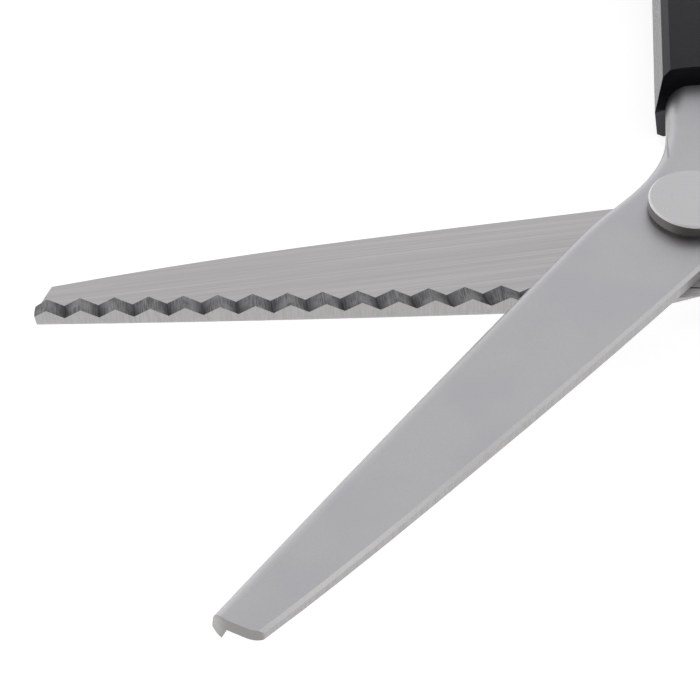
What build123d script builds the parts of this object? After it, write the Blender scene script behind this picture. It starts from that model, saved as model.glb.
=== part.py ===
from build123d import *
from collections import namedtuple
import math
import os

# Pinking shears lying on their underside, opened as if about to cut.
# Millimetres. The origin is on the pivot's axis at the level the shears rest on, +Z is up
# through the pivot, and +X runs along the lower blade towards its tip.
# Each blade is drawn in its own flat frame: u runs from the pivot to the tip, v across the
# blade, and z is counted from the plane in which the two rows of teeth slide past each other.

# Overall layout
MID_HEIGHT = 6.5          # height of the sliding plane above the rest plane
REST_OPENING = 39.2       # angle between the two blades as modelled
RUNNING_GAP = 0.2         # between the two blades' sliding faces
HALF_GAP = RUNNING_GAP / 2

# Blade stock
ROOT_OUTER = 3.5          # sliding plane to outer face at the pivot
TIP_OUTER = 2.8           # the same at the tip, because the blade is ground thinner
TAPER_START = 9.0         # distance from the pivot where the thinning starts
POCKET_LEVEL = 1.3        # sliding plane to the hollow inner face
FLANGE_WIDTH = 2.6        # width of the toothed band along the cutting edge
SPINE_BEVEL = 0.45

# Teeth: rings around the pivot, so that both rows mesh at every opening
TOOTH_PITCH = 4.86
TOOTH_HEIGHT = 1.45
TOOTH_TURNS = 34          # crests and roots together
FIRST_TURN = 18.47        # radius of the crest or root next to the pivot
BOSS_RADIUS = 15.6        # flat turned face around the pivot, where the teeth begin
GROOVE = (12.55, 12.9, 0.3)  # turned ring in the lower boss: inner and outer radius, depth
RECESS = (7.5, 11.5, 0.5)    # shallow relief inside it

# Blade outlines
BLADE_LENGTH = 95.6       # pivot to the end of the toothed flange
RUN_OUT = 3.0             # blades are drawn this much longer, then cut to shape at the tip
SPINE_TIP_LENGTH = 93.3
SPINE_MIDDLE_LENGTH = 60.0
SPINE_ROOT_LENGTH = 20.0
SPINE_START = 6.0
HEEL = (4.3, 14.12)       # the lower blade's widest point, beside the pivot
HEEL_END = 8.8            # the swollen heel has run into the cutting edge here
UPPER_EDGE_START = 17.0   # the upper blade's cutting edge turns into its neck here
# edge_root and edge_tip: how far across the cutting edge lies, level with the pivot and at the
# tip; edge_bow: how far it swells between them; root, middle and tip: the same for the spine;
# hollow: radius where the hollow face begins; bend: radius of the flange's outer corner; lean:
# how far the blade's end leans out per mm towards the teeth
BladeShape = namedtuple(
    "BladeShape", "edge_root edge_tip edge_bow root middle tip hollow bend lean"
)
LOWER = BladeShape(13.9, 1.3, 0.5, 7.85, 7.6, 5.6, 11.0, 1.5, 0.05)
UPPER = BladeShape(10.85, 1.2, 0.37, 8.05, 7.3, 5.6, 10.8, 2.1, 0.22)
# End of each blade at its outer face, from the cutting edge to the spine, and the line along
# which the flange narrows towards it
LOWER_NOSE = ((95.2, 2.3), (95.5, 0.6), (95.2, -1.0), (94.44, -2.9), (93.88, -4.1), (92.9, -6.0))
UPPER_NOSE = ((94.3, 2.4), (94.95, 0.4), (95.05, -0.8), (94.6, -2.8), (93.92, -4.75), (92.4, -5.9))
TIP_RELIEF = ((91.0, -1.35), (94.4, -0.72))

# Tangs and handle axes
TANG_WIDTH = 14.8
TANG_CORE_WIDTH = 9.0     # narrow part buried in the handle
TANG_ROUND = 4.2          # radius of the tang's outer corners at its shoulder
TANG_ROUND_END = 12.0     # the rounding has faded out this near to the pivot
TANG_SHOULDER = 36.0      # distance along the handle axis where the tang narrows
THUMB_TANG_END = 62.0
FINGER_TANG_END = 50.0
THUMB_FOOT = (-2.56, 3.45)     # nearest point of the thumb handle's axis to the pivot
THUMB_BEND = 216.65            # direction of that axis in the upper blade's frame
FINGER_FOOT = (0.0, 6.2)
FINGER_BEND = 180.0

# Handles
HANDLE_HALF_HEIGHT = 6.5
STEM_WIDTH = 18.0         # at the parting plane
DRAFT = 8.4               # degrees that the sides lean in towards each flat face
OUTER_CHAMFER = 0.95
LOOP_ROUND = 2.5
JUNCTION_ROUND = 10.0
THUMB_START = 26.0        # a handle begins here along its axis, before its mouth is cut
FINGER_START = 29.0
MOUTH_SETBACK = 14.5      # centre of the hollow end, short of the handle's start
MOUTH_RADIUS = 18.4       # hollow end at the parting plane
MOUTH_FACE_RADIUS = 20.0  # and at the flat faces, so that the end leans back

# Each loop is the hull of two circles: (distance along the axis, offset across, radius)
THUMB_OUTER = ((89.0, -4.0, 19.5), (97.5, -4.5, 21.0))
THUMB_INNER = ((88.5, -4.0, 10.8), (98.0, -4.5, 12.4))
FINGER_OUTER = ((68.0, -0.5, 17.5), (115.0, -1.5, 21.0))
FINGER_INNER = ((69.0, -0.5, 9.5), (115.5, -1.5, 12.5))

# Locating pins through the tangs
PIN_RADIUS = 2.0
PIN_SPOTS = {"thumb": (40.0, 56.0), "finger": (39.0, 46.5)}
PIN_BELOW = 3.4
PIN_ABOVE = 4.9

# Pivot hardware
HEAD_RADIUS = 6.5
HEAD_HEIGHT = 2.25
HEAD_BEVEL = 0.25
SEAT_RADIUS = 5.9         # the head stands on a slightly narrower seat
SEAT_HEIGHT = 0.55
SHANK_RADIUS = 3.0
RUNNING_FIT = 0.05
THREAD_RADIUS = 2.5
NUT_RADIUS = 6.2
NUT_HEIGHT = 2.4
SPANNER_HOLE_RADIUS = 0.9
SPANNER_HOLE_OFFSET = 4.1
SPANNER_HOLE_DEPTH = 1.2
SPRING_WASHER_RADIUS = 5.2
FRICTION_WASHER_RADIUS = 5.8
FRICTION_WASHER_THICKNESS = 0.6


def edge_offset(shape, u):
    """Distance across from the pivot's line to the cutting edge at u."""
    part = u / BLADE_LENGTH
    straight = shape.edge_root + (shape.edge_tip - shape.edge_root) * part
    return straight + 4 * shape.edge_bow * part * (1 - part)


def edge_arc(shape, start, end, inset=0.0):
    """The gently swelling cutting edge, or a line parallel to it on the blade."""
    spots = (start, (start + end) / 2, end)
    return ThreePointArc(*[(u, edge_offset(shape, u) - inset) for u in spots])


def prism(face, low, high):
    """The face, drawn at z = 0, raised into a solid from low to high."""
    return Pos(0, 0, low) * extrude(face, high - low, dir=(0, 0, 1))


def closed_face(edges):
    return Face(Wire(edges))


def blade_end(shape):
    """Edges round the drawn end and along the spine, from the cutting edge to the tang."""
    end = BLADE_LENGTH + RUN_OUT
    corner = (SPINE_TIP_LENGTH, -shape.tip)
    far_corner = (end, -shape.tip + 0.09 * (end - SPINE_TIP_LENGTH))
    middle = (SPINE_MIDDLE_LENGTH, -shape.middle)
    root = (SPINE_ROOT_LENGTH, -shape.root)
    edges = [Edge.make_line((end, edge_offset(shape, end)), far_corner)]
    edges.append(Edge.make_line(far_corner, corner))
    edges.append(Edge.make_spline([corner, middle, root], [(-1, -0.09), (-1, 0)]))
    edges.append(Edge.make_line(root, (SPINE_START, -shape.root)))
    return edges


def lower_outline():
    """Lower blade seen from its toothed side, cutting edge towards +v."""
    edges = blade_end(LOWER)
    tang_high = FINGER_FOOT[1] + TANG_WIDTH / 2
    tang_low = FINGER_FOOT[1] - TANG_WIDTH / 2
    heel = (0.0, LOWER.edge_root)
    high_start = (-12.0, tang_high)
    high_end = (-TANG_SHOULDER, tang_high)
    low_end = (-TANG_SHOULDER, tang_low)
    low_start = (-20.0, tang_low)
    edges.append(Edge.make_spline([(SPINE_START, -LOWER.root), low_start], [(-1, 0), (-1, 0)]))
    edges.append(Edge.make_line(low_start, low_end))
    edges.append(Edge.make_line(low_end, high_end))
    edges.append(Edge.make_line(high_end, high_start))
    edges.append(Edge.make_spline([high_start, heel], [(1, 0), (1, 0)]))
    edges.append(edge_arc(LOWER, 0.0, BLADE_LENGTH + RUN_OUT))
    return closed_face(edges)


def heel_outline():
    """The lower blade's swollen heel, which lies over the filleted edge beside the pivot."""
    start = (-12.0, FINGER_FOOT[1] + TANG_WIDTH / 2)
    end = (HEEL_END, edge_offset(LOWER, HEEL_END))
    edges = [Edge.make_spline([start, HEEL], [(1, 0), (1, 0)])]
    edges.append(Edge.make_spline([HEEL, end], [(1, 0), (1, -0.25)]))
    edges.extend(Polyline(end, (HEEL_END, 9), (-12, 9), start).edges())
    return closed_face(edges)


def upper_outline():
    """Upper blade seen from its toothed side, so that its tang bends towards the cutting edge."""
    edges = blade_end(UPPER)
    angle = math.radians(THUMB_BEND)
    along = Vector(math.cos(angle), -math.sin(angle))
    across = Vector(along.Y, -along.X) * (TANG_WIDTH / 2)
    foot = Vector(THUMB_FOOT[0], -THUMB_FOOT[1])
    near_end = foot + along * TANG_SHOULDER + across
    far_end = foot + along * TANG_SHOULDER - across
    near_start = foot + along * 25.0 + across
    far_start = foot + along * 19.0 - across
    edge_end = (UPPER_EDGE_START, edge_offset(UPPER, UPPER_EDGE_START))
    waist = (-1.8, 9.95)
    neck = (-7.5, 11.15)
    edges.append(Edge.make_spline([(SPINE_START, -UPPER.root), far_start], [(-1, 0), along]))
    edges.append(Edge.make_line(far_start, far_end))
    edges.append(Edge.make_line(far_end, near_end))
    edges.append(Edge.make_line(near_end, near_start))
    edges.append(Edge.make_spline([near_start, neck, waist, edge_end], [along * -1, (1, -0.1)]))
    edges.append(edge_arc(UPPER, UPPER_EDGE_START, BLADE_LENGTH + RUN_OUT))
    return closed_face(edges)


def tooth_cutter(phase):
    """Everything above the toothed face: a flat boss, then crests and roots in rings round it."""
    points = [(0, -HALF_GAP), (BOSS_RADIUS, -HALF_GAP)]
    for turn in range(TOOTH_TURNS):
        height = -phase * TOOTH_HEIGHT / 2 * (-1) ** turn
        points.append((FIRST_TURN + turn * TOOTH_PITCH / 2, height - HALF_GAP))
    points.append((points[-1][0], ROOT_OUTER))
    points.append((0, ROOT_OUTER))
    profile = Plane.XZ * make_face(Polyline(*points, close=True))
    return Rot(0, 0, -90) * revolve(profile, Axis.Z, revolution_arc=180)


def tip_cutter(nose, lean):
    """Everything beyond the rounded, slightly leaning end of a blade."""
    back = lean * (ROOT_OUTER - TIP_OUTER)
    points = [(u - back, v) for u, v in nose]
    end = BLADE_LENGTH + 2 * RUN_OUT
    beyond = Polyline(points[-1], (points[-1][0], -9), (end, -9), (end, points[0][1]), points[0])
    face = closed_face([Edge.make_spline(points), *beyond.edges()])
    cutter = Pos(0, 0, -ROOT_OUTER) * extrude(face, 3 * ROOT_OUTER, dir=(lean, 0, 1))
    start, corner = TIP_RELIEF
    relief = Polyline(start, corner, (end, corner[1]), (end, -9), (start[0], -9), close=True)
    return cutter + prism(make_face(relief), -POCKET_LEVEL, ROOT_OUTER)


def finish_edges(solid, shape):
    """Rounds the flange's outer corner and breaks the outer edge of the spine."""
    bend = []
    spine = []
    for edge in solid.edges():
        middle = edge @ 0.5
        at_outer = middle.Z < -TIP_OUTER + 0.3
        if not at_outer or middle.X < TAPER_START or middle.X > BLADE_LENGTH:
            continue
        if abs(middle.Y - edge_offset(shape, middle.X)) < 0.05 and edge.length > 20:
            bend.append(edge)
        elif middle.Y < -5.2:
            spine.append(edge)
    solid = fillet(bend, shape.bend)
    spots = [edge.center() for edge in spine]
    spine = [e for e in solid.edges() if any((e.center() - s).length < 0.1 for s in spots)]
    return chamfer(spine, SPINE_BEVEL)


def plate(outline):
    """An outline at full height, its outer side thinning towards the tip."""
    wedge = Polyline(
        (TAPER_START, -ROOT_OUTER),
        (BLADE_LENGTH + 5, -TIP_OUTER),
        (BLADE_LENGTH + 5, -ROOT_OUTER - 1),
        (TAPER_START, -ROOT_OUTER - 1),
        close=True,
    )
    thinning = extrude(Plane.XZ * make_face(wedge), 40, both=True)
    return prism(outline, -ROOT_OUTER, POCKET_LEVEL) - thinning


def blade(solid, shape, phase, cutter):
    """Cuts the tip, the hollow, the toothed flange and the flat boss out of a plate."""
    end = BLADE_LENGTH + 5
    wall = edge_arc(shape, 0.0, end, FLANGE_WIDTH)
    sides = Polyline(wall @ 1, (end, -20), (0, -20), wall @ 0)
    pocket = closed_face([wall, *sides.edges()])
    solid -= prism(pocket - Circle(shape.hollow), -POCKET_LEVEL, ROOT_OUTER)
    solid -= tooth_cutter(phase)
    solid -= cutter
    behind = Pos(-100, 0, 5 - HALF_GAP) * Box(200, 200, 10)
    return solid - behind


def tang_core(end, inner, outer):
    """The narrow rounded bar that runs on inside the handle, drawn along the handle's axis."""
    start = TANG_SHOULDER - 2
    bar = Pos((start + end) / 2, 0) * Rectangle(end - start, TANG_CORE_WIDTH)
    corners = bar.vertices().sort_by(Axis.X)[-2:]
    return prism(fillet(corners, 3.0), inner, outer)


def pin_holes(spots, low, high, radius=PIN_RADIUS):
    return [Pos(s, 0, (low + high) / 2) * Cylinder(radius, high - low) for s in spots]


def handle_frame(foot, bend):
    return Location((foot[0], foot[1], 0), (0, 0, bend))


def edge_rounder(side, outward):
    """Tool that rounds one outer corner of the tang, ever less towards the pivot."""
    across = side * TANG_WIDTH / 2
    level = outward * ROOT_OUTER
    sections = []
    for station, radius in ((TANG_SHOULDER, TANG_ROUND), (TANG_ROUND_END, 0.2)):
        square = Pos(across, level) * Rectangle(2 * radius, 2 * radius)
        centre = Pos(across - side * radius, level - outward * radius)
        sections.append(Plane.YZ.offset(station) * (square - centre * Circle(radius)))
    return loft(sections)


def heel_relief():
    """Slanting cut that thins the lower blade's heel on its outer side, and runs out both ways."""
    block = Pos(0, 0, 10) * Box(60, 60, 20)
    cuts = [Plane(origin=(0, 13.4, -0.55), z_dir=(s, 1, -1)) * block for s in (-0.168, 0.4)]
    return cuts[0] & cuts[1]


def ring_cut(inner, outer, depth):
    return prism(Circle(outer) - Circle(inner), -HALF_GAP - depth, 1)


def lower_blade():
    solid = finish_edges(plate(lower_outline()), LOWER) + plate(heel_outline())
    solid = blade(solid, LOWER, 1, tip_cutter(LOWER_NOSE, LOWER.lean))
    solid -= heel_relief()
    solid -= ring_cut(*GROOVE)
    solid -= ring_cut(*RECESS)
    frame = handle_frame(FINGER_FOOT, FINGER_BEND)
    for side in (-1, 1):
        solid -= frame * edge_rounder(side, -1)
    solid += frame * tang_core(FINGER_TANG_END, -ROOT_OUTER, -HALF_GAP)
    for hole in pin_holes(PIN_SPOTS["finger"], -ROOT_OUTER - 1, 1):
        solid -= frame * hole
    solid -= Cylinder(SHANK_RADIUS, 4 * ROOT_OUTER)
    recess_depth = FRICTION_WASHER_THICKNESS - RUNNING_GAP / 2
    recess = Cylinder(FRICTION_WASHER_RADIUS + 0.1, recess_depth)
    return solid - Pos(0, 0, -HALF_GAP - recess_depth / 2) * recess


def upper_blade():
    solid = finish_edges(plate(upper_outline()), UPPER)
    solid = blade(solid, UPPER, -1, tip_cutter(UPPER_NOSE, UPPER.lean))
    solid = Rot(180, 0, 0) * solid
    frame = handle_frame(THUMB_FOOT, THUMB_BEND)
    for side in (-1, 1):
        solid -= frame * edge_rounder(side, 1)
    solid += frame * tang_core(THUMB_TANG_END, HALF_GAP, ROOT_OUTER)
    for hole in pin_holes(PIN_SPOTS["thumb"], -1, ROOT_OUTER + 1):
        solid -= frame * hole
    return solid - Cylinder(SHANK_RADIUS + RUNNING_FIT, 4 * ROOT_OUTER)


def hull(circles):
    """Outline round two circles joined by their outer tangents."""
    centres = [Vector(along, across) for along, across, _ in circles]
    radii = [radius for _, _, radius in circles]
    gap = centres[1] - centres[0]
    heading = math.atan2(gap.Y, gap.X)
    swing = math.acos((radii[0] - radii[1]) / gap.length)

    def spot(which, angle):
        return centres[which] + Vector(math.cos(angle), math.sin(angle)) * radii[which]

    corners = [spot(0, heading + swing), spot(0, heading - swing)]
    corners += [spot(1, heading - swing), spot(1, heading + swing)]
    edges = [ThreePointArc(corners[0], spot(0, heading + math.pi), corners[1])]
    edges.append(Edge.make_line(corners[1], corners[2]))
    edges.append(ThreePointArc(corners[2], spot(1, heading), corners[3]))
    edges.append(Edge.make_line(corners[3], corners[0]))
    return closed_face(edges)


def handle_plan(start, outer):
    """Outline of a handle along its own axis: a straight stem that flares into the loop."""
    stem_end = outer[0][0]
    stem = Pos((start + stem_end) / 2, 0) * Rectangle(stem_end - start, STEM_WIDTH)
    plan = stem + hull(outer)
    joints = [
        v
        for v in plan.vertices()
        if abs(abs(v.Y) - STEM_WIDTH / 2) < 0.01 and start + 5 < v.X < stem_end
    ]
    return fillet(joints, JUNCTION_ROUND)


def handle_half(start, height, outer, inner):
    """One moulded half standing on the parting plane, with its sides leaning in."""
    solid = extrude(handle_plan(start, outer), height, taper=DRAFT)
    solid -= extrude(hull(inner), height, taper=-DRAFT)
    face = solid.faces().sort_by(Axis.Z)[-1]
    outside = [e for e in face.outer_wire().edges() if e.center().X > start + 0.01]
    solid = chamfer(outside, OUTER_CHAMFER)
    face = solid.faces().sort_by(Axis.Z)[-1]
    solid = fillet(face.inner_wires()[0].edges(), LOOP_ROUND)
    mouth = Solid.make_cone(MOUTH_RADIUS, MOUTH_FACE_RADIUS, height)
    return solid - Pos(start - MOUTH_SETBACK, 0, 0) * mouth


def handle_halves(foot, bend, start, parting, outer, inner, blade_solid, spots):
    """Front and back halves of one handle in its blade's frame, hollowed for tang and pins."""
    frame = handle_frame(foot, bend)
    tang = frame.inverse() * blade_solid
    front = Pos(0, 0, parting) * handle_half(start, HANDLE_HALF_HEIGHT - parting, outer, inner)
    back = handle_half(start, HANDLE_HALF_HEIGHT + parting, outer, inner)
    back = mirror(Pos(0, 0, -parting) * back, Plane.XY)
    halves = []
    for half in (front, back):
        half -= tang
        for pin in pin_holes(spots, -PIN_BELOW, PIN_ABOVE):
            half -= pin
        halves.append(frame * half)
    return halves


def tang_pins(foot, bend, spots):
    frame = handle_frame(foot, bend)
    return Compound([frame * pin for pin in pin_holes(spots, -PIN_BELOW, PIN_ABOVE)])


def pivot_screw():
    """Shoulder screw with a flat disc head, seated on the upper blade."""
    disc_height = HEAD_HEIGHT - SEAT_HEIGHT
    disc_middle = ROOT_OUTER + SEAT_HEIGHT + disc_height / 2
    head = Pos(0, 0, disc_middle) * Cylinder(HEAD_RADIUS, disc_height)
    rim = head.edges().filter_by(GeomType.CIRCLE).sort_by(Axis.Z)[-1]
    head = chamfer(rim, HEAD_BEVEL)
    head += Pos(0, 0, ROOT_OUTER + SEAT_HEIGHT / 2) * Cylinder(SEAT_RADIUS, SEAT_HEIGHT)
    shank = Cylinder(SHANK_RADIUS, 2 * ROOT_OUTER)
    thread_end = -MID_HEIGHT + 0.8
    thread_middle = (thread_end - ROOT_OUTER) / 2
    thread = Pos(0, 0, thread_middle) * Cylinder(THREAD_RADIUS, -ROOT_OUTER - thread_end)
    return head + shank + thread


def pivot_nut():
    """Flat round nut with a blind thread and two spanner holes; its face is the rest face."""
    nut = Pos(0, 0, -MID_HEIGHT + NUT_HEIGHT / 2) * Cylinder(NUT_RADIUS, NUT_HEIGHT)
    rim = nut.edges().filter_by(GeomType.CIRCLE).sort_by(Axis.Z)[0]
    nut = chamfer(rim, 0.3)
    bore_depth = NUT_HEIGHT - 0.7
    nut -= Pos(0, 0, -MID_HEIGHT + 0.7 + bore_depth / 2) * Cylinder(THREAD_RADIUS, bore_depth)
    for side in (-1, 1):
        hole = Cylinder(SPANNER_HOLE_RADIUS, SPANNER_HOLE_DEPTH)
        nut -= Pos(side * SPANNER_HOLE_OFFSET, 0, -MID_HEIGHT + SPANNER_HOLE_DEPTH / 2) * hole
    return nut


def ring(outer, inner, low, high):
    middle = Pos(0, 0, (low + high) / 2)
    return middle * (Cylinder(outer, high - low) - Cylinder(inner, high - low + 1))


def spring_washer():
    return ring(SPRING_WASHER_RADIUS, SHANK_RADIUS, -MID_HEIGHT + NUT_HEIGHT, -ROOT_OUTER)


def friction_washer():
    top = HALF_GAP - 0.05
    inner = SHANK_RADIUS + RUNNING_FIT
    low = -HALF_GAP - FRICTION_WASHER_THICKNESS + RUNNING_GAP / 2
    return ring(FRICTION_WASHER_RADIUS, inner, low, top)


def main():
    os.makedirs("parts", exist_ok=True)
    lower = lower_blade()
    upper = upper_blade()
    finger = (FINGER_FOOT, FINGER_BEND)
    thumb = (THUMB_FOOT, THUMB_BEND)
    finger_front, finger_back = handle_halves(
        *finger, FINGER_START, -HALF_GAP, FINGER_OUTER, FINGER_INNER, lower, PIN_SPOTS["finger"]
    )
    thumb_front, thumb_back = handle_halves(
        *thumb, THUMB_START, HALF_GAP, THUMB_OUTER, THUMB_INNER, upper, PIN_SPOTS["thumb"]
    )
    fixed = {
        "lower_blade": lower,
        "finger_handle_front": finger_front,
        "finger_handle_back": finger_back,
        "finger_tang_pins": tang_pins(*finger, PIN_SPOTS["finger"]),
        "pivot_screw": pivot_screw(),
        "pivot_nut": pivot_nut(),
        "spring_washer": spring_washer(),
        "friction_washer": friction_washer(),
    }
    moving = {
        "upper_blade": upper,
        "thumb_handle_front": thumb_front,
        "thumb_handle_back": thumb_back,
        "thumb_tang_pins": tang_pins(*thumb, PIN_SPOTS["thumb"]),
    }
    lift = Pos(0, 0, MID_HEIGHT)
    for name, solid in fixed.items():
        export_step(lift * solid, f"parts/{name}.step")
    for name, solid in moving.items():
        export_step(lift * Rot(0, 0, REST_OPENING) * solid, f"parts/{name}.step")


main()
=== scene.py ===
import math
from types import SimpleNamespace
import bpy
from mathutils import Matrix, Vector

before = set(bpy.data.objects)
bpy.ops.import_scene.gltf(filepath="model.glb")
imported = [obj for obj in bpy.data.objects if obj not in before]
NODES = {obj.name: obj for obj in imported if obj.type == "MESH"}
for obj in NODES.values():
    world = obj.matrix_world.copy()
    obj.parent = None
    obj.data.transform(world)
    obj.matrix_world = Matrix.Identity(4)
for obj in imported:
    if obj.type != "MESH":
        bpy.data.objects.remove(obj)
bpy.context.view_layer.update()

# Pinking shears lying half open on a pale table. Everything is in metres, in the CAD frame:
# the origin is on the pivot's axis at the rest plane, +X along the lower blade, +Z up.
SLIDING_PLANE = 6.5        # mm above the rest plane, where the two rows of teeth meet
OPENING = 39.2             # degrees between the blades as modelled
TO_MM = (1000, 1000, 1000)
NO_TURN = (0, 0, 0)
UPPER_TURN = (180, 0, OPENING)   # from the object's axes to the upper blade's own
DIAGONAL = 0.707           # how squarely a 45 degree bevel faces along the pivot's axis

# Zones of a blade, in mm in its own axes, each from where it begins to where it is complete
BOSS_EDGE = (15.5, 15.8)     # distance from the pivot where the turned boss ends
HOLLOW_STEP = (-1.2, -1.0)   # height between the hollow and the raised faces
TANG_END = (8.0, 10.0)       # the raised face is toothed only beyond here, not on the tang
TIP_WALL = (92.9, 93.6)      # the blade's end, whose wall gets a deeper painted shade
TIP_WALL_ACROSS = (1.0, -1.6)  # and across it, from the teeth towards the spine
SPINE_SIDE = (-3.0, -4.0)    # across the blade, where an edge belongs to the spine
BEVEL_HIGHLIGHT_STRETCH = (55.0, 92.0)   # along the blade, where the painted highlight on the spine's bevel grows
VALLEY_SHADE_DEPTH = (0.15, -0.75)   # height, from the teeth's crests down into the valleys, where painted shade deepens

# How squarely a surface faces along the pivot's axis: 1 on the toothed side, -1 outside
INNER_FACING = (0.25, 0.45)
OUTER_FACING = (-0.45, -0.85)

# Steel tones
SATIN_COOL = (0.583, 0.580, 0.612)
SATIN_WARM = (0.609, 0.604, 0.619)
SATIN_DARK = (0.49, 0.49, 0.50)
BRUSHED_DARK = (0.53, 0.516, 0.522)
BRUSHED_LIGHT = (0.655, 0.640, 0.646)
# Side walls of a blade: ground steel with its streaks, darkened below the faces as painted shade
SHADED_WALL_DARK = (0.372, 0.368, 0.366)
SHADED_WALL_LIGHT = (0.465, 0.458, 0.453)
# the blade's end wall, darker still: deeper painted shade
END_WALL_SHADE = (0.25, 0.247, 0.243)
BEVEL_SHADE_NEAR = (0.50, 0.497, 0.499)   # painted shade on the spine's bevel up to mid-blade
BEVEL_HIGHLIGHT_FAR = (0.76, 0.755, 0.75)     # a painted highlight on it at the tip
# Teeth: real cross-ground flanks, darkened below bare steel as painted shade
SHADED_TOOTH_DARK = (0.085, 0.085, 0.09)
SHADED_TOOTH_LIGHT = (0.30, 0.30, 0.305)
TOOTH_VALLEY_SHADE = (0.055, 0.055, 0.06)
# Turned boss: real turning rings, painted near white as a painted highlight
TURNED_HIGHLIGHT_DARK = (0.62, 0.615, 0.61)
TURNED_HIGHLIGHT_LIGHT = (0.98, 0.975, 0.97)
SCREW_TOP = (0.69, 0.69, 0.70)
# the sides of the screw head and the nut are darker: painted shade
SCREW_SIDE_SHADE = (0.36, 0.33, 0.32)
NUT_TOP = (0.58, 0.58, 0.59)
NUT_SIDE_SHADE = (0.5, 0.5, 0.5)
RIM_HIGHLIGHT = (0.97, 0.96, 0.97)            # painted highlight on the bevelled rim of the screw head and the nut
WASHER_STEEL = (0.36, 0.37, 0.39)
WASHER_BRONZE = (0.60, 0.40, 0.20)
PIN_STEEL = (0.5, 0.5, 0.51)

# Steel finish: roughness, a pair where it varies over the surface, and heights in metres
SATIN_ROUGH = (0.38, 0.45)
BRUSHED_ROUGH = (0.28, 0.40)
TEETH_ROUGH = 0.42
BOSS_ROUGH = 0.55
BOSS_METALLIC = 0.2                 # low, so that the boss's painted highlight stays pale from every side
RIM_ROUGH = 0.75
BLADE_RELIEF = 0.000012
TURNED_RELIEF = 0.000003
METAL_RELIEF = 0.000006

# Handle plastic
PLASTIC_DARK = (0.0025, 0.0025, 0.003)
PLASTIC_LIGHT = (0.004, 0.004, 0.005)
PLASTIC_SHEEN = (0.55, 0.54, 0.66)
PLASTIC_ROUGH = (0.15, 0.25)
PLASTIC_GRAIN = 0.00004

# Studio
FLOOR_HALF = 3.0
FLOOR_LEVEL = -0.00005               # a hair under the rest plane, so the two never coincide
FLOOR_GREY = (0.5, 0.5, 0.5)
FLOOR_GLOW = 0.8
WHITE = (1, 1, 1)
TENT_RISE = (0.05, 0.62)             # sine of the elevation, over which the tent greys
TENT_TOP = 0.72                      # its strength overhead, where the sides have 1
GAP_DIRECTION = (0.05, 0.85, 0.52)   # middle of the dark gap in the tent
GAP_EDGE = (0.45, 0.85)              # cosine of the angle from that middle, edge inwards
GAP_STRENGTH = 0.18
LAMP_PLACE = (-0.83, 0.2, 0.5)
LAMP_SIZE = (0.5, 0.3)
LAMP_POWER = 0.42

# Camera
CAMERA_PLACE = (0.06799, 0.18164, 0.17008)
CAMERA_RIGHT = (-0.9900, 0.1346, -0.0416)
CAMERA_FORWARD = (-0.0670, -0.7093, -0.7017)
CAMERA_LENS = 87.43


# ---------------------------------------------------------------- node helpers
def smooth_step(tree, value, low, high, start=0.0, end=1.0):
    """A smooth step from start, where the value is low, to end, where it is high."""
    node = tree.nodes.new("ShaderNodeMapRange")
    node.interpolation_type = "SMOOTHSTEP"
    tree.links.new(value, node.inputs[0])
    for socket, number in zip(list(node.inputs)[1:5], (low, high, start, end)):
        socket.default_value = number
    return node.outputs[0]


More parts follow.
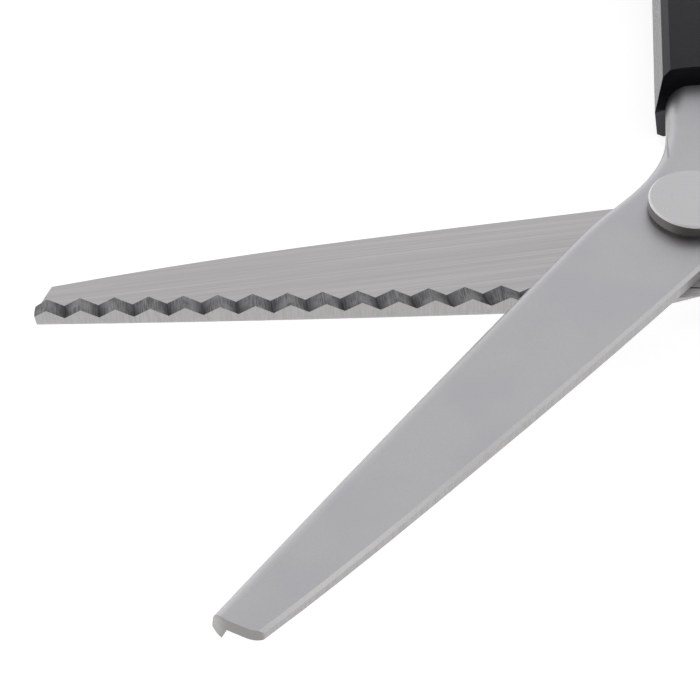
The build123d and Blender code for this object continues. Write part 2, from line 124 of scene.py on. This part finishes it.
class Tree:
    """A material's node tree, with short calls for the nodes that this scene uses."""

    def __init__(self, name):
        self.material = bpy.data.materials.new(name)
        self.material.use_nodes = True
        self.nodes = self.material.node_tree.nodes
        self.links = self.material.node_tree.links
        self.shader = self.nodes["Principled BSDF"]

    def put(self, socket, value):
        """Gives an input either another node's output or a fixed value."""
        if isinstance(value, bpy.types.NodeSocket):
            self.links.new(value, socket)
        else:
            socket.default_value = value

    def math(self, operation, first, second=0.0, clamp=False):
        node = self.nodes.new("ShaderNodeMath")
        node.operation = operation
        node.use_clamp = clamp
        self.put(node.inputs[0], first)
        self.put(node.inputs[1], second)
        return node.outputs[0]

    def times(self, first, second):
        return self.math("MULTIPLY", first, second)

    def distance(self, x, y):
        """Distance from the z axis."""
        return self.math("SQRT", self.math("ADD", self.times(x, x), self.times(y, y)))

    def ramp(self, value, low, high):
        """A smooth step from 0 at low to 1 at high."""
        return smooth_step(self.material.node_tree, value, low, high)

    def near(self, value, aim):
        """1 where the value is aim, falling to 0 at 0.17 either side."""
        distance = self.math("ABSOLUTE", self.math("SUBTRACT", value, aim))
        return self.math("SUBTRACT", 1.0, self.times(distance, 6.0), clamp=True)

    def mapping(self, vector, scale=(1, 1, 1), turn=(0, 0, 0), move=(0, 0, 0), kind="POINT"):
        node = self.nodes.new("ShaderNodeMapping")
        node.vector_type = kind
        self.put(node.inputs["Vector"], vector)
        node.inputs["Rotation"].default_value = [math.radians(a) for a in turn]
        node.inputs["Scale"].default_value = scale
        if kind == "POINT":
            node.inputs["Location"].default_value = move
        return node.outputs[0]

    def parts(self, vector):
        node = self.nodes.new("ShaderNodeSeparateXYZ")
        self.put(node.inputs[0], vector)
        return node.outputs[0], node.outputs[1], node.outputs[2]

    def join(self, x, y, z):
        node = self.nodes.new("ShaderNodeCombineXYZ")
        for socket, value in zip(node.inputs, (x, y, z)):
            self.put(socket, value)
        return node.outputs[0]

    def noise(self, vector, scale, detail, roughness):
        node = self.nodes.new("ShaderNodeTexNoise")
        self.put(node.inputs["Vector"], vector)
        node.inputs["Scale"].default_value = scale
        node.inputs["Detail"].default_value = detail
        node.inputs["Roughness"].default_value = roughness
        return node.outputs[0]

    def mix(self, share, first, second):
        """Blends two colours."""
        node = self.nodes.new("ShaderNodeMix")
        node.data_type = "RGBA"
        self.put(node.inputs[0], share)
        for socket, colour in ((node.inputs[6], first), (node.inputs[7], second)):
            self.put(socket, colour if isinstance(colour, bpy.types.NodeSocket) else (*colour, 1))
        return node.outputs[2]

    def blend(self, share, first, second):
        """Blends two numbers."""
        node = self.nodes.new("ShaderNodeMix")
        self.put(node.inputs[0], share)
        self.put(node.inputs[2], first)
        self.put(node.inputs[3], second)
        return node.outputs[0]

    def bump(self, height, distance):
        node = self.nodes.new("ShaderNodeBump")
        node.inputs["Distance"].default_value = distance
        node.inputs["Strength"].default_value = 1.0
        self.put(node.inputs["Height"], height)
        return node.outputs[0]

    def object_coordinates(self):
        return self.nodes.new("ShaderNodeTexCoord").outputs["Object"]

    def object_normal(self):
        return self.nodes.new("ShaderNodeTexCoord").outputs["Normal"]

    def surface(self, **values):
        """Sets the Principled shader's inputs, named with underscores for spaces."""
        for name, value in values.items():
            socket = self.shader.inputs[name.replace("_", " ")]
            if isinstance(value, tuple):
                value = (*value, 1)
            self.put(socket, value)
        return self.material


# ---------------------------------------------------------------- materials
def blade_place(t, turn):
    """Millimetres along, across and out of the blade, the distance from the pivot, and how
    squarely the surface faces the toothed side.

    turn brings the object's axes to the blade's own: along to the tip, across towards the
    cutting edge, height out of the toothed side and counted from the sliding plane.
    """
    level = -SLIDING_PLANE if turn == NO_TURN else SLIDING_PLANE
    vector = t.mapping(t.object_coordinates(), TO_MM, turn, (0, 0, level))
    normal = t.mapping(t.object_normal(), turn=turn, kind="VECTOR")
    along, across, height = t.parts(vector)
    return SimpleNamespace(
        vector=vector,
        along=along,
        across=across,
        height=height,
        radius=t.distance(along, across),
        facing=t.parts(normal)[2],
    )


def blade_zones(t, place):
    """Masks, from 0 to 1, for the differently finished faces of a blade, some of which carry
    painted shade and painted highlights.
    """
    inner = t.ramp(place.facing, *INNER_FACING)
    outer = t.ramp(place.facing, *OUTER_FACING)
    off_boss = t.ramp(place.radius, *BOSS_EDGE)
    raised = t.ramp(place.height, *HOLLOW_STEP)
    raised_inner = t.times(inner, raised)
    # how far across the blade the end wall's deeper painted shade reaches
    tip_shade_side = t.ramp(place.across, *TIP_WALL_ACROSS)
    return SimpleNamespace(
        outer=outer,
        # the side walls, where the steel is darkened as painted shade
        shaded_wall=t.math("SUBTRACT", 1.0, t.math("MAXIMUM", inner, outer), clamp=True),
        # the turned boss, where the pale painted highlight goes
        boss_highlight=t.times(raised_inner, t.math("SUBTRACT", 1.0, off_boss)),
        teeth=t.times(t.times(raised_inner, off_boss), t.ramp(place.along, *TANG_END)),
        hollow=t.times(inner, t.math("SUBTRACT", 1.0, raised)),
        # the spine's bevel, which carries painted shade and a painted highlight
        bevel=t.times(t.near(place.facing, -DIAGONAL), t.ramp(place.across, *SPINE_SIDE)),
        end_wall_shade=t.times(t.ramp(place.along, *TIP_WALL), tip_shade_side),
    )


def blade_patterns(t, place):
    """Noise for brushing along the blade, grinding across it, turning and fine grain."""
    return SimpleNamespace(
        lines=t.noise(t.mapping(place.vector, (0.02, 5.0, 1.0)), 1.0, 5.0, 0.7),
        broad_lines=t.noise(t.mapping(place.vector, (0.012, 1.1, 1.0)), 1.0, 2.0, 0.5),
        grain=t.noise(place.vector, 5.0, 3.0, 0.6),
        cloud=t.noise(place.vector, 0.09, 2.0, 0.5),
        cross_lines=t.noise(t.mapping(place.vector, (6.0, 0.35, 0.35)), 1.0, 4.0, 0.7),
        rings=t.noise(t.join(t.times(place.radius, 3.0), 0.0, 0.0), 1.0, 3.0, 0.6),
        patches=t.noise(t.mapping(place.vector, (0.42, 0.5, 0.5)), 1.0, 2.0, 0.5),
    )


def tooth_colour(t, place, patterns):
    """Cross-ground flanks, darkened below bare steel as painted shade, lighter in patches, with
    deeper painted shade in the valleys.
    """
    colour = t.mix(t.ramp(patterns.cross_lines, 0.3, 0.72), SHADED_TOOTH_DARK, SHADED_TOOTH_LIGHT)
    colour = t.mix(t.times(t.ramp(patterns.patches, 0.45, 0.65), 0.6), colour, SHADED_TOOTH_LIGHT)
    # painted shade in the valleys between the teeth
    valley_shade = t.ramp(place.height, *VALLEY_SHADE_DEPTH)
    return t.mix(t.times(valley_shade, 0.65), colour, TOOTH_VALLEY_SHADE)


def blade_colour(t, place, zones, patterns):
    """Each zone's steel tone, laid one over the other; the walls, the teeth and the bevel near
    the pivot carry painted shade, the bevel towards the tip and the boss a painted highlight.
    """
    satin = t.mix(t.ramp(patterns.cloud, 0.35, 0.65), SATIN_COOL, SATIN_WARM)
    satin = t.mix(t.times(t.ramp(patterns.grain, 0.35, 0.7), 0.2), satin, SATIN_DARK)
    brushed = t.mix(t.ramp(patterns.lines, 0.32, 0.68), BRUSHED_DARK, BRUSHED_LIGHT)
    broad = t.times(t.ramp(patterns.broad_lines, 0.42, 0.6), 0.3)
    brushed = t.mix(broad, brushed, BRUSHED_DARK)
    # painted shade on the side walls, over their real grinding streaks
    shaded_walls = t.mix(t.ramp(patterns.cross_lines, 0.3, 0.7), SHADED_WALL_DARK, SHADED_WALL_LIGHT)
    # deeper painted shade on the end wall at the tip
    shaded_walls = t.mix(t.times(zones.end_wall_shade, 0.75), shaded_walls, END_WALL_SHADE)
    # the spine's bevel: painted shade near the pivot, a painted highlight towards the tip
    bevel = t.mix(t.ramp(place.along, *BEVEL_HIGHLIGHT_STRETCH), BEVEL_SHADE_NEAR, BEVEL_HIGHLIGHT_FAR)
    # the turned boss, painted pale as a painted highlight over its real rings
    turned_highlight = t.mix(t.ramp(patterns.rings, 0.40, 0.60), TURNED_HIGHLIGHT_DARK, TURNED_HIGHLIGHT_LIGHT)
    colour = t.mix(zones.shaded_wall, satin, shaded_walls)
    colour = t.mix(zones.bevel, colour, bevel)
    colour = t.mix(zones.hollow, colour, brushed)
    colour = t.mix(zones.teeth, colour, tooth_colour(t, place, patterns))
    return t.mix(zones.boss_highlight, colour, turned_highlight)


def blade_roughness(t, zones, patterns):
    """Satin all over, glossier where it is brushed, duller on the boss."""
    rough = t.blend(t.ramp(patterns.grain, 0.3, 0.7), *SATIN_ROUGH)
    brushed = t.blend(t.ramp(patterns.lines, 0.3, 0.7), *BRUSHED_ROUGH)
    rough = t.blend(zones.hollow, rough, brushed)
    rough = t.blend(zones.teeth, rough, TEETH_ROUGH)
    return t.blend(zones.boss_highlight, rough, BOSS_ROUGH)


def blade_relief(t, zones, patterns):
    """Height of the finish: each zone's own pattern, as a multiple of the bump distance."""
    streaks = t.math("ADD", t.times(zones.teeth, 2.0), t.times(zones.shaded_wall, 0.6))
    relief = t.times(patterns.grain, t.times(zones.outer, 0.35))
    relief = t.math("ADD", relief, t.times(patterns.lines, zones.hollow))
    relief = t.math("ADD", relief, t.times(patterns.cross_lines, streaks))
    return t.math("ADD", relief, t.times(patterns.rings, t.times(zones.boss_highlight, 3.5)))


def blade_steel(name, turn):
    """Stainless steel: satin outside, brushed lengthwise inside, ground teeth, turned boss."""
    t = Tree(name)
    place = blade_place(t, turn)
    zones = blade_zones(t, place)
    patterns = blade_patterns(t, place)
    return t.surface(
        Base_Color=blade_colour(t, place, zones, patterns),
        Metallic=t.blend(zones.boss_highlight, 1.0, BOSS_METALLIC),
        Roughness=blade_roughness(t, zones, patterns),
        Normal=t.bump(blade_relief(t, zones, patterns), BLADE_RELIEF),
    )


def turned_steel(name, base, side, rough):
    """Lathe-turned steel with fine rings round the pivot's axis, with painted shade on its side
    and a painted highlight on its bevelled rim.
    """
    t = Tree(name)
    place = t.mapping(t.object_coordinates(), TO_MM)
    x, y, z = t.parts(place)
    profile = t.join(t.times(t.distance(x, y), 6.0), t.times(z, 3.0), 0.0)
    rings = t.noise(profile, 1.0, 3.0, 0.6)
    cloud = t.noise(place, 0.3, 3.0, 0.5)
    upright = t.math("ABSOLUTE", t.parts(t.object_normal())[2])
    # the bevelled rim is painted near white: a painted highlight
    rim_highlight = t.near(upright, DIAGONAL)
    dark = tuple(c * 0.96 for c in base)
    colour = t.mix(t.ramp(rings, 0.3, 0.7), dark, base)
    # the side colour is painted shade on the sides of the head and the nut
    colour = t.mix(t.ramp(upright, 0.1, 0.5), side, colour)
    colour = t.mix(rim_highlight, colour, RIM_HIGHLIGHT)
    roughness = t.blend(t.ramp(cloud, 0.3, 0.7), rough - 0.04, rough + 0.04)
    roughness = t.blend(rim_highlight, roughness, RIM_ROUGH)
    relief = t.bump(rings, TURNED_RELIEF)
    return t.surface(Base_Color=colour, Metallic=1.0, Roughness=roughness, Normal=relief)


def plain_metal(name, base, rough):
    """Small drawn or stamped metal parts, slightly mottled."""
    t = Tree(name)
    place = t.mapping(t.object_coordinates(), TO_MM)
    cloud = t.noise(place, 0.8, 4.0, 0.6)
    fine = t.noise(place, 6.0, 2.0, 0.5)
    dark = tuple(c * 0.75 for c in base)
    colour = t.mix(t.ramp(cloud, 0.3, 0.7), dark, base)
    roughness = t.blend(t.ramp(fine, 0.3, 0.7), rough - 0.06, rough + 0.06)
    relief = t.bump(fine, METAL_RELIEF)
    return t.surface(Base_Color=colour, Metallic=1.0, Roughness=roughness, Normal=relief)


def moulded_plastic(name):
    """Black plastic with a fine spark-eroded grain."""
    t = Tree(name)
    place = t.mapping(t.object_coordinates(), TO_MM)
    grain = t.noise(place, 3.2, 3.0, 0.6)
    cloud = t.noise(place, 0.12, 2.0, 0.5)
    return t.surface(
        Base_Color=t.mix(t.ramp(cloud, 0.35, 0.65), PLASTIC_DARK, PLASTIC_LIGHT),
        Roughness=t.blend(t.ramp(grain, 0.35, 0.65), *PLASTIC_ROUGH),
        IOR=1.4,
        Specular_Tint=PLASTIC_SHEEN,
        Normal=t.bump(grain, PLASTIC_GRAIN),
    )


def dress_nodes():
    """Gives every CAD node its material; the nodes' shapes stay as they are."""
    materials = {
        "lower_blade": blade_steel("lower_blade_steel", NO_TURN),
        "upper_blade": blade_steel("upper_blade_steel", UPPER_TURN),
        "pivot_screw": turned_steel("screw_steel", SCREW_TOP, SCREW_SIDE_SHADE, rough=0.30),
        "pivot_nut": turned_steel("nut_steel", NUT_TOP, NUT_SIDE_SHADE, rough=0.34),
        "spring_washer": plain_metal("washer_steel", WASHER_STEEL, rough=0.38),
        "friction_washer": plain_metal("washer_bronze", WASHER_BRONZE, rough=0.36),
    }
    plastic = moulded_plastic("handle_plastic")
    pins = plain_metal("pin_steel", PIN_STEEL, rough=0.35)
    for name, node in NODES.items():
        if "handle" in name:
            materials[name] = plastic
        if "pins" in name:
            materials[name] = pins
        node.data.materials.clear()
        node.data.materials.append(materials[name])


# ---------------------------------------------------------------- studio
def floor():
    """A large pale sheet that glows a little, so that the ground stays white."""
    mesh = bpy.data.meshes.new("floor")
    signs = ((-1, -1), (1, -1), (1, 1), (-1, 1))
    corners = [(x * FLOOR_HALF, y * FLOOR_HALF, FLOOR_LEVEL) for x, y in signs]
    mesh.from_pydata(corners, [], [(0, 1, 2, 3)])
    t = Tree("floor_paper")
    t.surface(Base_Color=FLOOR_GREY, Roughness=1.0, Specular_IOR_Level=0.0)
    t.surface(Emission_Color=WHITE, Emission_Strength=FLOOR_GLOW)
    mesh.materials.append(t.material)
    plane = bpy.data.objects.new("floor", mesh)
    bpy.context.scene.collection.objects.link(plane)


def sky():
    """A light tent: white low down, greyer overhead, with a dark gap on the camera's side."""
    world = bpy.data.worlds.new("tent")
    bpy.context.scene.world = world
    world.use_nodes = True
    tree = world.node_tree
    background = tree.nodes["Background"]
    direction = tree.nodes.new("ShaderNodeTexCoord").outputs["Generated"]
    split = tree.nodes.new("ShaderNodeSeparateXYZ")
    tree.links.new(direction, split.inputs[0])
    aim = tree.nodes.new("ShaderNodeVectorMath")
    aim.operation = "DOT_PRODUCT"
    tree.links.new(direction, aim.inputs[0])
    aim.inputs[1].default_value = Vector(GAP_DIRECTION).normalized()
    overhead = smooth_step(tree, split.outputs[2], *TENT_RISE, 1.0, TENT_TOP)
    gap = smooth_step(tree, aim.outputs["Value"], *GAP_EDGE, 1.0, GAP_STRENGTH)
    product = tree.nodes.new("ShaderNodeMath")
    product.operation = "MULTIPLY"
    tree.links.new(overhead, product.inputs[0])
    tree.links.new(gap, product.inputs[1])
    tree.links.new(product.outputs[0], background.inputs["Strength"])
    background.inputs["Color"].default_value = (*WHITE, 1)


def softbox():
    """A weak lamp on the handles' side, which lights the upper blade's bevelled spine."""
    data = bpy.data.lights.new("side", "AREA")
    data.shape = "RECTANGLE"
    data.size, data.size_y = LAMP_SIZE
    data.energy = LAMP_POWER
    lamp = bpy.data.objects.new("side", data)
    lamp.location = LAMP_PLACE
    lamp.rotation_euler = (-Vector(LAMP_PLACE)).to_track_quat("-Z", "Y").to_euler()
    bpy.context.scene.collection.objects.link(lamp)


def camera():
    """The camera, placed and turned by its own right and forward directions."""
    right = Vector(CAMERA_RIGHT)
    forward = Vector(CAMERA_FORWARD)
    up = right.cross(forward).normalized()
    data = bpy.data.cameras.new("camera")
    data.lens = CAMERA_LENS
    data.clip_start = 0.01
    turn = Matrix((right, up, -forward)).transposed().to_4x4()
    view = bpy.data.objects.new("camera", data)
    view.matrix_world = Matrix.Translation(CAMERA_PLACE) @ turn
    bpy.context.scene.collection.objects.link(view)
    bpy.context.scene.camera = view


def studio():
    """Floor, light and camera, with plain display colours."""
    bpy.context.scene.view_settings.view_transform = "Standard"
    floor()
    sky()
    softbox()
    camera()


dress_nodes()
studio()
